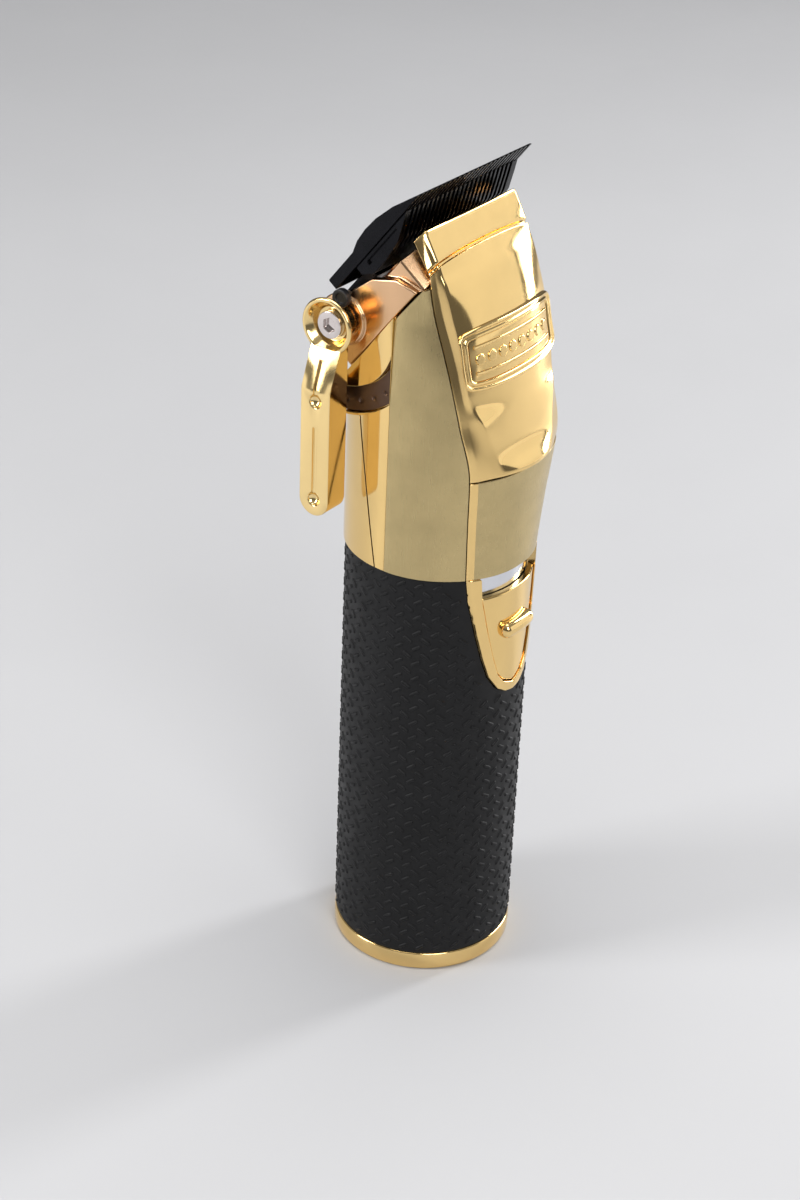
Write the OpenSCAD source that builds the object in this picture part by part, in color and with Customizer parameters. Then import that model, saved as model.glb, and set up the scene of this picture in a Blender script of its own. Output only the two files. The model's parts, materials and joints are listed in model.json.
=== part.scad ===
// Cordless hair clipper: round textured grip, metal head housing, tapered blade
// set driven by a rotary motor, taper lever with detents and a slide switch.
// Millimetres. +Z runs up the grip towards the blade, -Y is the front (badge
// and switch), -X is the lever side. The origin is the centre of the base.

/* [Grip] */
// Radius of the grip sleeve
grip_r = 20; // [19.8:0.05:20.1]
// Height where the grip sleeve starts, the base cap's height
cap_h = 4.5; // [4:0.1:5]
// Radius of the base cap
cap_r = 20.3; // [20.1:0.1:20.6]
// Height where the metal housing starts
neck_z = 101.5; // [101.4:0.05:101.6]
// Wall of the grip sleeve
sleeve_t = 1.8; // [1.6:0.05:1.9]

/* [Housing] */
// Outer radius of the housing at the neck
house_r = 20.6; // [20.5:0.05:20.7]
// Wall of the round part of the housing
house_t = 2.2; // [2:0.1:2.3]
// Thickness of the side panels, front cover and front panel
skin_t = 1.3; // [1:0.05:1.4]
// Height of the lower lip of the front cover
lip_z = 125.7; // [125.6:0.05:125.9]
// Half width of the head under the blade
head_w = 16.9; // [16.8:0.05:17]

/* [Blade] */
// Half width of the fixed blade
blade_w = 20; // [19.8:0.1:20.4]
// Number of tooth gaps in the fixed blade
fixed_gaps = 25; // [20:1:27]
// Number of tooth gaps in the moving blade
cutter_gaps = 23; // [18:1:24]
// Width of one gap between fixed teeth
gap_w = 0.8; // [0.6:0.05:0.9]
// Height of the tooth tips above the base
tip_z = 184.1; // [183.6:0.1:184.6]

/* [Drive] */
// Radius of the motor can
motor_r = 12; // [11:0.1:12]
// Offset of the eccentric pin from the motor's axis
throw = 1.386; // [1.3:0.002:1.4]
// Radius of the eccentric pin
pin_r = 1.2; // [1.1:0.05:1.25]
// Radial clearance of the running fits
run_gap = 0.05; // [0.03:0.01:0.08]

/* [Lever] */
// Outer radius of the lever's cup
cup_r = 6.05; // [6:0.01:6.1]
// Width of the lever's arm
arm_w = 7.2; // [7:0.1:7.4]
// Height of the arm's rounded lower end above the base
arm_z = 112.9; // [112:0.1:114]
// Angle between two detents, in degrees
detent_step = 11.6; // [11:0.1:12]
// Number of detents
detents = 5; // [4:1:5]

/* [Switch] */
// Height of the slider's top edge when off
slider_z = 96.3; // [96:0.1:96.4]
// Height of the middle of the slider's thumb ridge
ridge_z = 87.2; // [86.5:0.1:88]

/* [Hidden] */
$fn = 64;
// Tilt of the blade plane from the horizontal, in degrees
blade_tilt = 38;
ct = cos(blade_tilt);
st = sin(blade_tilt);
// The blade plane's own frame: n is the distance along the plane's normal and t
// the distance towards the tooth tips
blade_n = 109.9;
tip_t = (tip_z - blade_n * st) / ct;
deck_n = 97.3;
piv_y = 13.4;
piv_z = 153.8;
piv_n = piv_y * ct + piv_z * st;
piv_t = -piv_y * st + piv_z * ct;
gold = [0.90, 0.74, 0.38];
satin = [0.80, 0.70, 0.45];
black = [0.07, 0.07, 0.08];
dlc = [0.10, 0.10, 0.11];
steel = [0.72, 0.72, 0.74];
brass = [0.80, 0.62, 0.30];
green = [0.10, 0.35, 0.18];

module tilt() rotate([blade_tilt, 0, 0]) children();
// A box from lowest to highest corner
module bx(a, b) translate(a) cube([b[0] - a[0], b[1] - a[1], b[2] - a[2]]);
module pipe(r1, r2, z1, z2) difference() {
  translate([0, 0, z1]) cylinder(r = r1, h = z2 - z1, $fn = 96);
  translate([0, 0, z1 - 1]) cylinder(r = r2, h = z2 - z1 + 2, $fn = 96);
}
// A cylinder along X from x1 to x2 at the lever's pivot
module piv(r, x1, x2) translate([x1, piv_y, piv_z]) rotate([0, 90, 0]) cylinder(r = r, h = x2 - x1, $fn = 48);
// A round wire through a list of points
module wire(p, r) union() {
  for (i = [0:len(p) - 2]) {
    d = p[i + 1] - p[i];
    translate(p[i]) rotate([0, acos(d[2] / norm(d)), atan2(d[1], d[0])]) cylinder(r = r, h = norm(d), $fn = 24);
  }
  for (i = [1:len(p) - 2]) translate(p[i]) sphere(r = r + 0.06, $fn = 24);
}

// Shape of the head, as outlines that change with height ------------------
function sx(z) = lookup(z, [[neck_z, house_r], [130, 20.6], [150, 20.2], [160, 19.7], [168, 18.8]]);
function bxx(z) = lookup(z, [[101.5, 13.4], [114, 14.8], [126.6, 16.3], [138, 17.2], [151.5, 17.6], [168, 17.6], [176, 17.3]]);
function byy(z) = lookup(z, [[101.5, -15.65], [114, -16.3], [126.6, -17.07], [138, -14.5], [147.6, -11.9], [151.5, -10.6], [161, -7.4], [166, -6.4], [168, -6.1], [172, -5.5]]);
function b2x(z) = bxx(z) - lookup(z, [[101.5, 1.4], [150, 1.5], [168, 1.1]]);
function b2y(z) = byy(z) - lookup(z, [[101.5, 1.1], [150, 1.2], [160, 1.15], [164, 0.9], [168, 0.6], [172, 0.5]]);
function cx(z) = lookup(z, [[126, 9.3], [130.7, 10.6], [138, 13.2], [141, 14.5], [144, 15.2], [150, 15.5], [160, 15.8], [172, 15.8]]);
function cy(z) = z < 144 ? lookup(z, [[126, -20.8], [130.7, -19.4], [138, -17.5], [141, -16.0], [144, -14.7]])
  : b2y(z) - lookup(z, [[144, 1.05], [150, 1.4], [157, 2.2], [162, 2.1], [166, 1.6], [168, 1.0], [172, 0.7]]);
// Front centre line of the cover and of the panel under it
function dy(z) = lookup(z, [[125.4, -22.8], [126.4, -22.8], [127.6, -22.0], [129, -20.9], [130.5, -20.2], [134.7, -19.2], [140, -18.0], [146, -16.8],
  [151, -15.9], [157, -14.6], [162, -12.6], [166, -10.4], [168, -9.0], [170, -7.6], [173, -5.4]]);
function pw(z) = lookup(z, [[126, 2], [138, 2.2], [151, 2.4]]);
// Normal distance of the front cover's top edge, and the lip's distance along the blade
function top_n(x) = 98.4 + 0.7 * (1 - pow(x / 16, 2));
function lip_t(x) = 140.9 - 0.5 * pow(max(0, abs(x) - 15.2), 2);
function dlow(z) = lookup(z, [[101.5, -20.6], [114, -21.2], [125.6, -22.2]]);
FR = [0.9, 0.75, 0.55, 0.35, 0.16, 0];
function cover_half(k, z) = k == 0 ? [-bxx(z) + 0.14, byy(z) - 0.16] : k == 1 ? [-b2x(z), b2y(z)] : k == 2 ? [-cx(z), cy(z)]
  : let (x = cx(z) * FR[k - 3]) [-x, dy(z) + (cy(z) - dy(z)) * pow(x / cx(z), pw(z))];
function low_half(k, z) = k == 0 ? [-bxx(z) + 0.14, byy(z) - 0.16] : k == 1 ? [-b2x(z), b2y(z)]
  : let (x = b2x(z) * [0.92, 0.8, 0.65, 0.48, 0.32, 0.15, 0][k - 2]) [-x, dlow(z) + (b2y(z) - dlow(z)) * pow(x / b2x(z), 2.3)];
function cover_xy(k, z) = k <= 8 ? cover_half(k, z) : let (h = cover_half(16 - k, z)) [-h[0], h[1]];
function low_xy(k, z) = k <= 8 ? low_half(k, z) : let (h = low_half(16 - k, z)) [-h[0], h[1]];
// Side panel, from the edge at Y = 0 round to the edge beside the front cover
function panel_xy(k, z) = let (t = k / 8, A = [-sx(z), min(-0.1, (deck_n - 0.4 - st * z) / ct)], B = [-bxx(z), byy(z)],
  K = [-sx(z) + 0.02 * (z - 101.5) / 60, A[1] + (B[1] - A[1]) * 0.58]) (1 - t) * (1 - t) * A + 2 * t * (1 - t) * K + t * t * B;
// Height where a column of an outline meets the plane n = deck_n
function cover_top(k, z, i) = i == 0 ? z : cover_top(k, 0.5 * z + 0.5 * (top_n(cover_xy(k, z)[0]) - ct * cover_xy(k, z)[1]) / st, i - 1);
function panel_top(k, z, i) = i == 0 ? z : panel_top(k, 0.5 * z + 0.5 * (deck_n - 0.25 - ct * panel_xy(k, z)[1]) / st, i - 1);
function inw(p, d) = let (r = norm(p)) p * (r - d) / r;

// A closed shell between an outer and an inner grid of points
module shell(P, Q) {
  nr = len(P);
  nc = len(P[0]);
  o = nr * nc;
  function quad(a, b, c, d) = [[a, b, c], [a, c, d]];
  polyhedron(points = concat([for (r = P) for (p = r) p], [for (r = Q) for (p = r) p]),
    faces = concat(
      [for (i = [0:nr - 2]) for (j = [0:nc - 2]) each quad(i * nc + j, (i + 1) * nc + j, (i + 1) * nc + j + 1, i * nc + j + 1)],
      [for (i = [0:nr - 2]) for (j = [0:nc - 2]) each quad(o + i * nc + j, o + i * nc + j + 1, o + (i + 1) * nc + j + 1, o + (i + 1) * nc + j)],
      [for (j = [0:nc - 2]) each quad(j, j + 1, o + j + 1, o + j)],
      [for (j = [0:nc - 2]) each quad((nr - 1) * nc + j + 1, (nr - 1) * nc + j, o + (nr - 1) * nc + j, o + (nr - 1) * nc + j + 1)],
      [for (i = [0:nr - 2]) each quad((i + 1) * nc, i * nc, o + i * nc, o + (i + 1) * nc)],
      [for (i = [0:nr - 2]) each quad(i * nc + nc - 1, (i + 1) * nc + nc - 1, o + (i + 1) * nc + nc - 1, o + i * nc + nc - 1)]),
    convexity = 6);
}
function p3(q, z) = [q[0], q[1], z];
VC = [0, 0.025, 0.06, 0.12, 0.2, 0.28, 0.36, 0.46, 0.56, 0.66, 0.76, 0.86, 0.94, 1];
function cover_pt(k, v, d) = let (zt = cover_top(k, 168, 30), z = lip_z + v * (zt - lip_z), q = inw(cover_xy(k, z), d),
  z2 = (top_n(q[0]) - ct * q[1]) / st) p3(q, d == 0 ? z : min(z, z2));
VP = [0, 0.1, 0.2, 0.3, 0.4, 0.5, 0.6, 0.7, 0.78, 0.86, 0.93, 1];
function panel_pt(k, v, d) = let (zt = panel_top(k, 160, 30), z = neck_z + v * (zt - neck_z), q = inw(panel_xy(k, z), d),
  z2 = (deck_n - 0.25 - ct * q[1]) / st) p3(q, d == 0 ? z : min(z, z2));

// Base -------------------------------------------------------------------
module base_cap() color(gold) difference() {
  rotate_extrude($fn = 96) polygon([[6.5, 0], [cap_r - 1.0, 0], [cap_r - 0.4, 0.25], [cap_r - 0.05, 0.9], [cap_r, 2.2],
    [cap_r - 0.05, 3.6], [cap_r - 0.25, cap_h - 0.2], [cap_r - 0.6, cap_h], [17.9, cap_h], [17.9, 9], [16.4, 9], [16.4, 2.6], [6.5, 2.6]]);
  for (a = [90, 210, 330]) rotate(a) translate([14, 0, -1]) {
    cylinder(r = 1.6, h = 6, $fn = 32);
    cylinder(r = 2.85, h = 2.8, $fn = 32);
  }
  for (s = [-1, 1]) translate([s * 11.5, 0, -1]) cylinder(r = 2.2, h = 6, $fn = 32);
}
module base_screws() color(steel) for (a = [90, 210, 330]) rotate(a) translate([14, 0, 0]) difference() {
  union() {
    translate([0, 0, 0.5]) cylinder(r = 2.6, h = 1.3, $fn = 32);
    translate([0, 0, 1.7]) cylinder(r = 1.3, h = 8.3, $fn = 32);
  }
  translate([0, 0, -0.5]) cylinder(r = 1.1, h = 2, $fn = 6);
}
module charge_socket() color(black) difference() {
  union() {
    cylinder(r = 6.4, h = 12.2);
    translate([0, 0, 2.6]) cylinder(r = 8.2, h = 1.6);
  }
  translate([0, 0, -1]) cylinder(r = 2, h = 11.5, $fn = 48);
}
module charge_contacts() color(brass) for (s = [-1, 1]) translate([s * 11.5, 0, 0]) {
  translate([0, 0, 0.25]) cylinder(r = 2.1, h = 2.35, $fn = 32);
  translate([0, 0, 2.6]) cylinder(r = 2.8, h = 1, $fn = 32);
}
module base_seal() color(black) translate([0, 0, cap_h]) difference() {
  cylinder(r = grip_r - 0.3, h = 0.3, $fn = 96);
  translate([0, 0, -1]) cylinder(r = 17.95, h = 3, $fn = 96);
}
// Grip and what it holds -----------------------------------------------------
module grip_sleeve() color(black) difference() {
  pipe(grip_r, grip_r - sleeve_t, cap_h + 0.3, neck_z - 0.35);
  front_prism(tongue(-0.1, neck_z + 2));
}
module collar_gasket() color([0.03, 0.03, 0.03]) difference() {
  pipe(grip_r - 0.1, grip_r - sleeve_t + 0.1, neck_z - 0.35, neck_z - 0.05);
  front_prism(tongue(-0.1, neck_z + 2));
}
module inner_chassis() color([0.16, 0.16, 0.17]) difference() {
  union() {
    pipe(17.8, 16.1, 9.2, 93);
    translate([0, 0, 9.2]) cylinder(r = 16.2, h = 2);
    for (a = [90, 210, 330]) rotate(a) translate([14, 0, 3.8]) cylinder(r = 2.2, h = 7, $fn = 32);
    for (s = [-1, 1], z = [22, 80]) bx([s > 0 ? 8.3 : -11.4, -14.0, z - 2], [s > 0 ? 11.4 : -8.3, -11.7, z + 2]);
  }
  translate([0, 0, 8]) cylinder(r = 8.6, h = 5);
  for (a = [90, 210, 330]) rotate(a) translate([14, 0, 0]) cylinder(r = 1.35, h = 14, $fn = 32);
  bx([-8.2, -30, 16], [8.2, -5, 94]);
  for (z = [16, 26, 84]) bx([-11.2, -20, z], [11.2, -11.75, z < 20 ? 19.9 : z < 50 ? 77.9 : 94]);
  for (z = [20, 46]) bx([-6, 5, z], [6, 30, z + 18]);
  for (s = [-1, 1], z = [22, 80]) translate([s * 9.6, -10, z]) rotate([90, 0, 0]) cylinder(r = 0.7, h = 2.9, $fn = 24);
}
module battery_cradle() color([0.2, 0.2, 0.21]) translate([0, 3.2, 0]) difference() {
  union() {
    pipe(10.9, 9.35, 14, 74);
    translate([0, 0, 12.25]) cylinder(r = 10.9, h = 1.75);
    for (s = [-1, 1], z = [16, 66]) bx([s > 0 ? 9.5 : -12.1, 5, z], [s > 0 ? 12.1 : -9.5, 7, z + 6]);
  }
  bx([-20, -20, 13.9], [20, -2.2, 75]);
  translate([0, 0, 12]) cylinder(r = 5, h = 3);
}
module battery_cell() color([0.16, 0.35, 0.6]) translate([0, 3.2, 0]) difference() {
  union() {
    translate([0, 0, 14.2]) cylinder(r = 9.2, h = 64.4);
    translate([0, 0, 78.6]) cylinder(r = 3, h = 1.2, $fn = 32);
  }
  difference() {
    translate([0, 0, 77.9]) cylinder(r = 10, h = 1);
    translate([0, 0, 77]) cylinder(r = 7.4, h = 3);
  }
}
module battery_tabs() color(steel) union() {
  bx([-3, 0.2, 79.8], [3, 6, 80]);
  bx([-2, -7.6, 13.9], [2, 4, 14.15]);
}
module battery_leads() union() {
  color([0.7, 0.1, 0.1]) wire([[2, 2, 80.62], [2, -4, 81.5], [4, -8.2, 79], [4, -9.45, 74]], 0.6);
  color(black) wire([[-1, -7.2, 14.8], [-1, -8.6, 15.6], [-1, -8.6, 18], [-4, -8.8, 22], [-4, -9.45, 26]], 0.6);
}
module control_board() color(green) difference() {
  bx([-11, -11.7, 16.5], [11, -10.1, 92]);
  for (s = [-1, 1], z = [22, 80]) translate([s * 9.6, -9, z]) rotate([90, 0, 0]) cylinder(r = 0.85, h = 4, $fn = 24);
}
module board_components() union() {
  color([0.08, 0.08, 0.09]) { bx([-4, -13.3, 34], [4, -11.7, 42]); bx([-3, -13, 52], [3, -11.7, 57]); bx([-5, -13.6, 64], [1, -11.7, 70]); }
  color([0.8, 0.8, 0.78]) bx([-3.5, -14.6, 18], [3.5, -11.7, 25]);
  color(steel) translate([4.5, -11.7, 48]) rotate([90, 0, 0]) cylinder(r = 2.2, h = 3.2, $fn = 32);
}
module board_screws() color(steel) for (s = [-1, 1], z = [22, 80]) translate([s * 9.6, -10.1, z]) rotate([90, 0, 0]) union() {
  translate([0, 0, -0.9]) cylinder(r = 1.5, h = 0.9, $fn = 24);
  translate([0, 0, -0.1]) cylinder(r = 0.65, h = 2.6, $fn = 24);
}
module switch_body() color([0.1, 0.1, 0.1]) difference() {
  bx([-4.5, -15.3, 78.5], [4.5, -11.7, 91.5]);
  bx([-1.4, -16, 80.8], [1.4, -13.6, 90.2]);
}
// Motor ----------------------------------------------------------------------
module motor_can() color(steel) difference() {
  union() {
    translate([0, 0, 104]) cylinder(r = motor_r, h = 32);
    translate([0, 0, 136]) cylinder(r = 4, h = 2.2, $fn = 48);
  }
  translate([0, 0, 105]) cylinder(r = motor_r - 1, h = 30);
  translate([0, 0, 103]) cylinder(r = motor_r - 1, h = 3);
  translate([0, 0, 130]) cylinder(r = 1.15 + run_gap, h = 12, $fn = 48);
  for (s = [-1, 1]) translate([0, s * 8, 130]) cylinder(r = 0.95, h = 8, $fn = 24);
}
module motor_end_cap() color([0.9, 0.9, 0.86]) difference() {
  union() {
    translate([0, 0, 104.1]) cylinder(r = motor_r - 1.05, h = 2);
    translate([0, 0, 102.2]) cylinder(r = motor_r - 0.3, h = 1.8);
  }
  translate([0, 0, 101]) cylinder(r = 1.15 + run_gap, h = 8, $fn = 48);
}
module motor_leads() union() {
  color([0.7, 0.1, 0.1]) wire([[4, -8, 101.5], [4, -9.45, 98], [4, -9.45, 90]], 0.6);
  color(black) wire([[-4, -8, 101.5], [-4, -9.45, 98], [-4, -9.45, 90]], 0.6);
}
module motor_bracket() color(steel) difference() {
  intersection() {
    translate([0, 0, 136.05]) cylinder(r = 18, h = 1.6);
    bx([-17.9, -9.9, 130], [17.9, 9.9, 140]);
  }
  translate([0, 0, 130]) cylinder(r = 4.15, h = 10, $fn = 48);
  for (s = [-1, 1]) {
    translate([0, s * 8, 130]) cylinder(r = 1.15, h = 10, $fn = 24);
    translate([s * 15.6, 4.2, 130]) cylinder(r = 1.15, h = 10, $fn = 24);
  }
}
module motor_screws() color(steel) for (s = [-1, 1]) translate([0, s * 8, 0]) union() {
  translate([0, 0, 137.65]) cylinder(r = 1.7, h = 1, $fn = 24);
  translate([0, 0, 132.5]) cylinder(r = 0.9, h = 5.2, $fn = 24);
}
module bracket_screws() color(steel) for (s = [-1, 1]) translate([s * 15.6, 4.2, 0]) union() {
  translate([0, 0, 137.65]) cylinder(r = 1.9, h = 1.2, $fn = 24);
  translate([0, 0, 130]) cylinder(r = 0.95, h = 7.7, $fn = 24);
}
module motor_shaft() color(steel) union() {
  translate([0, 0, 101.6]) cylinder(r = 1.15, h = 40.4, $fn = 48);
  translate([0, 0, 107]) cylinder(r = motor_r - 2, h = 24);
}
module eccentric_cam() color(brass) difference() {
  translate([0, 0, 139]) cylinder(r = 4.6, h = 4.6, $fn = 48);
  translate([0, 0, 138]) cylinder(r = 1.16, h = 4.01, $fn = 48);
  translate([0, throw, 142.5]) cylinder(r = pin_r + 0.01, h = 3, $fn = 48);
}
module eccentric_pin() color(steel) translate([0, throw, 142.5]) cylinder(r = pin_r, h = 5.7, $fn = 48);

// Metal housing ----------------------------------------------------------------
module seam(d) translate([0, 2.6 + d, neck_z + 2]) rotate([-10.45, 0, 0]) translate([-50, 0, -60]) cube([100, 60, 200]);
module pad_form(r, x1, x2) intersection() {
  piv(r, x1, x2);
  translate([x1 - 1, 0, 0]) rotate([90, 0, 90]) linear_extrude(x2 - x1 + 2)
    polygon([[-0.1, 120], [-0.1, 160], [11.5, 160], [24, 137.9], [18.2, 137.9], [16.7, 137.4], [11.2, 133.8], [10, 120]]);
  tilt() bx([-60, -60, 60], [60, deck_n, 180]);
}
module sector(r1, r2, a1, a2, x1, x2) translate([x1, piv_y, piv_z]) rotate([0, 90, 0]) rotate([0, 0, 0]) linear_extrude(x2 - x1)
  intersection() {
    difference() { circle(r = r1, $fn = 96); circle(r = r2, $fn = 96); }
    polygon([[0, 0], [60 * cos(a1), -60 * sin(a1)], [60 * cos((a1 + a2) / 2), -60 * sin((a1 + a2) / 2)], [60 * cos(a2), -60 * sin(a2)]]);
  }
// Outline of the housing's walls behind the seam, cut to the sloping top
module behind(d) difference() { bx([-50, -0.05, 90], [50, 60, 180]); seam(d); }
module main_housing() color(gold) difference() {
  union() {
    // spigot in the grip and ring behind the panels
    pipe(18.1, 16.4, 94, 106);
    intersection() { pipe(18.6, 16.4, neck_z, 106); bx([-30, -30, 90], [30, 2, 110]); }
    // side walls between the panels and the rear cover
    intersection() { pipe(house_r, house_r - house_t, neck_z, 170); behind(0); }
    // pad round the lever's pivot
    difference() {
      pad_form(20.2, -19.6, -14);
      translate([0, 0, 100]) cylinder(r = house_r - house_t, h = 70, $fn = 96);
    }
    // lugs for the motor bracket
    for (s = [-1, 1]) difference() {
      translate([s * 15.6, 4.2, 126]) cylinder(r = 3, h = 10, $fn = 32);
      translate([0, 0, 120]) cylinder(r = motor_r + 0.4, h = 30);
    }
    // deck under the head block, with an opening for the drive
    difference() {
      intersection() {
        translate([0, 0, 120]) cylinder(r = 15.7, h = 70, $fn = 96);
        tilt() bx([-30, deck_n - 1.8, 104], [30, deck_n, 133.4]);
      }
      tilt() bx([-7, 80, 117], [7, 110, 131]);
    }
    // edges of the deck on both sides
    intersection() {
      pipe(house_r, 15.5, 130, 170);
      tilt() bx([-30, deck_n - 1.8, 104], [30, deck_n, 124]);
      behind(0);
    }
  }
  tilt() bx([-60, deck_n, 0], [60, 200, 300]);
  for (s = [-1, 1]) translate([s * 15.6, 4.2, 127]) cylinder(r = 1, h = 20, $fn = 24);
  front_prism(tongue(-0.3, neck_z - 0.02));
  // recess for the detent plate
  intersection() { sector(19.6, 14, -11, 75, -30, -18.45); bx([-40, 0.1, 120], [0, 60, 170]); }
}
module rear_cover() color(gold) difference() {
  union() {
    pipe(house_r, house_r - house_t, neck_z, 160);
    intersection() {
      translate([0, 0, 120]) cylinder(r = house_r - 1, h = 50, $fn = 96);
      tilt() bx([-30, deck_n - 1.8, 60], [30, deck_n, 103.8]);
    }
  }
  difference() { bx([-50, -50, 90], [50, 60, 180]); seam(0.35); }
  tilt() bx([-60, deck_n, 0], [60, 200, 300]);
  // room for the pad on the lever side
  intersection() {
    piv(20.5, -40, -13.7);
    bx([-40, -10, 120], [-13.7, 23.5, 180]);
    translate([0, -0.3, 0.3]) bx([-40, 0, 132], [-13, 40, 170]);
  }
}
module panel() {
  shell([for (v = VP) [for (k = [0:8]) panel_pt(k, v, 0)]], [for (v = VP) [for (k = [0:8]) panel_pt(k, v, v > 0.92 ? 2.0 : skin_t)]]);
}
module left_side_panel() color(satin) panel();
module right_side_panel() color(satin) mirror([1, 0, 0]) panel();
module front_cover() color(gold)
  shell([for (v = VC) [for (k = [0:16]) cover_pt(k, v, 0)]], [for (v = VC) [for (k = [0:16]) cover_pt(k, v, skin_t)]]);
ZL = [neck_z, 104, 108, 112, 116, 120, 123, 125.4];
module front_panel() color(satin)
  shell([for (z = ZL) [for (k = [0:16]) p3(low_xy(k, z), z)]], [for (z = ZL) [for (k = [0:16]) p3(inw(low_xy(k, z), skin_t), z)]]);

// Switch -------------------------------------------------------------------------
// Half outline of the tongue, inset by d, below the height zt
function tongue(d, zt) = let (w = [[12.7, neck_z], [12.2, 96], [10.45, 87.3], [9.0, 81.5], [7.4, 76.6], [5.0, 73], [2.5, 71.4], [0, 70.9]],
  h = [for (p = w) let (s = max(0, (76.5 - p[1]) / 6)) [max(0, p[0] - d * (1 - 0.45 * s)), p[1] + d * s]])
  concat([[h[0][0], zt]], [for (i = [zt > neck_z ? 0 : 1:len(h) - 1]) h[i]], [for (i = [len(h) - 2:-1:zt > neck_z ? 0 : 1]) [-h[i][0], h[i][1]]], [[-h[0][0], zt]]);
module front_prism(p) translate([0, -10, 0]) rotate([90, 0, 0]) linear_extrude(30) polygon(p);
module switch_frame() color(gold) difference() {
  intersection() {
    pipe(grip_r + 0.75, grip_r - sleeve_t + 0.1, 60, neck_z - 0.05);
    front_prism(tongue(0, neck_z));
  }
  front_prism(tongue(2.2, neck_z + 1));
}
module switch_plate() color(steel) intersection() {
  pipe(grip_r - 1.2, grip_r - sleeve_t + 0.1, 60, neck_z - 0.4);
  difference() { front_prism(tongue(2.25, neck_z + 1)); bx([-2.3, -30, 80.6], [2.3, -10, 91.4]); }
}
module switch_slider() color(gold) union() {
  intersection() {
    pipe(grip_r + 0.35, grip_r - 1.0, 60, slider_z);
    front_prism(tongue(2.5, slider_z + 5));
  }
  intersection() {
    translate([0, 0, ridge_z]) rotate_extrude($fn = 96) translate([grip_r + 0.72, 0]) circle(r = 1.78, $fn = 32);
    translate([0, -10, ridge_z]) rotate([90, 0, 0]) linear_extrude(30)
      polygon([[-5.4, -0.8], [-4.6, -1.6], [-3.4, -2.1], [3.4, -2.1], [4.6, -1.6], [5.4, -0.8], [5.4, 0.8], [4.6, 1.6], [3.4, 2.1], [-3.4, 2.1], [-4.6, 1.6], [-5.4, 0.8]]);
  }
  // tongue through the sleeve to the switch
  bx([-1.6, -19.6, 81.6], [1.6, -15.7, 86]);
  bx([-1.1, -15.8, 82.2], [1.1, -14.0, 85]);
}

// Badge ----------------------------------------------------------------------------
function bz(x, w) = let (u = min(1, abs(x) / 16)) (1 - w) * (144 + 1.2 * pow(u, 4)) + w * (157.3 - 1.4 * pow(u, 4));
function bpt(x, w, up) = let (z = bz(x, w), c = cx(z), a = min(abs(x), c), y = dy(z) + (cy(z) - dy(z)) * pow(a / c, pw(z)), q = [x, y])
  p3(q * (norm(q) + up) / norm(q), z);
// Rounded rectangle path, s from 0 to 1, half width hw, in x and w
function rrect(i, n, hw, wl, wh, r) = let (s = i / n * 4, q = floor(s), f = (s - q),
  cxx = hw - r, rw = r / 13)
  q == 0 ? (f < 0.75 ? [-cxx + 2 * cxx * f / 0.75, wl] : let (a = (f - 0.75) / 0.25 * 90) [cxx + r * sin(a), wl + rw - rw * cos(a)])
  : q == 1 ? (f < 0.6 ? [hw, wl + rw + (wh - wl - 2 * rw) * f / 0.6] : let (a = (f - 0.6) / 0.4 * 90) [cxx + r * cos(a), wh - rw + rw * sin(a)])
  : q == 2 ? (f < 0.75 ? [cxx - 2 * cxx * f / 0.75, wh] : let (a = (f - 0.75) / 0.25 * 90) [-cxx - r * sin(a), wh - rw + rw * cos(a)])
  : (f < 0.6 ? [-hw, wh - rw - (wh - wl - 2 * rw) * f / 0.6] : let (a = (f - 0.6) / 0.4 * 90) [-cxx - r * cos(a), wl + rw - rw * sin(a)]);
module badge_frame() color(gold) {
  n = 56;
  // profile across the rim: inset and height
  pr = [[0, 0.03], [0.05, 0.55], [0.45, 0.8], [0.85, 0.5], [1.2, 0.42], [1.5, 0.68], [1.9, 0.6], [2.05, 0.03]];
  m = len(pr);
  pts = [for (i = [0:n - 1]) for (p = pr) let (c = rrect(i, n, 15.9 - p[0], p[0] / 13, 1 - p[0] / 13, 1.7 - p[0] * 0.4)) bpt(c[0], c[1], p[1])];
  polyhedron(points = pts, faces = [for (i = [0:n - 1]) for (j = [0:m - 1]) let (a = i * m + j, b = i * m + (j + 1) % m,
    c = ((i + 1) % n) * m + (j + 1) % m, d = ((i + 1) % n) * m + j) each [[a, b, c], [a, c, d]]], convexity = 8);
}
module badge_plate() color(gold) {
  X = [for (i = [0:12]) -13.6 + 27.2 * i / 12];
  W = [for (i = [0:4]) 0.17 + 0.66 * i / 4];
  shell([for (w = W) [for (x = X) bpt(x, w, 0.3)]], [for (w = W) [for (x = X) bpt(x, w, 0.03)]]);
}

// Head -----------------------------------------------------------------------------
module fairing(s) rotate([0, 0, 0]) scale([1, 1, 1]) tilt() mirror([s > 0 ? 1 : 0, 0, 0]) translate([-18.5, 0, 0])
  rotate([90, 0, 90]) linear_extrude(1.7) polygon([[97.6, 106.5], [103, 106.3], [106.6, 109.6], [107.4, 114], [107.7, 119.6], [106.3, 125], [102.5, 129.5], [97.6, 131.6]]);
module head_block() color(satin) difference() {
  union() {
    tilt() rotate([90, 0, 0]) mirror([0, 0, 1]) translate([0, 0, deck_n + 0.02]) linear_extrude(105 - deck_n - 0.02)
      polygon([[-head_w, 105], [head_w, 105], [head_w, 132.2], [13.2, 135.2], [-13.2, 135.2], [-head_w, 132.2]]);
    fairing(-1);
    fairing(1);
    piv(5.4, -19.2, -15);
  }
  tilt() bx([-12.5, 90, 118], [12.5, 120, 133.2]);
  tilt() bx([-16.55, 98.6, 107.4], [-12.3, 120, 121.5]);
  piv(3.42, -20, -15);
  for (s = [-1, 1]) tilt() translate([s * 14.7, 90, 130]) rotate([-90, 0, 0]) {
    cylinder(r = 1.0, h = 20, $fn = 24);
    translate([0, 0, 13.4]) cylinder(r = 1.95, h = 20, $fn = 24);
  }
}
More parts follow.
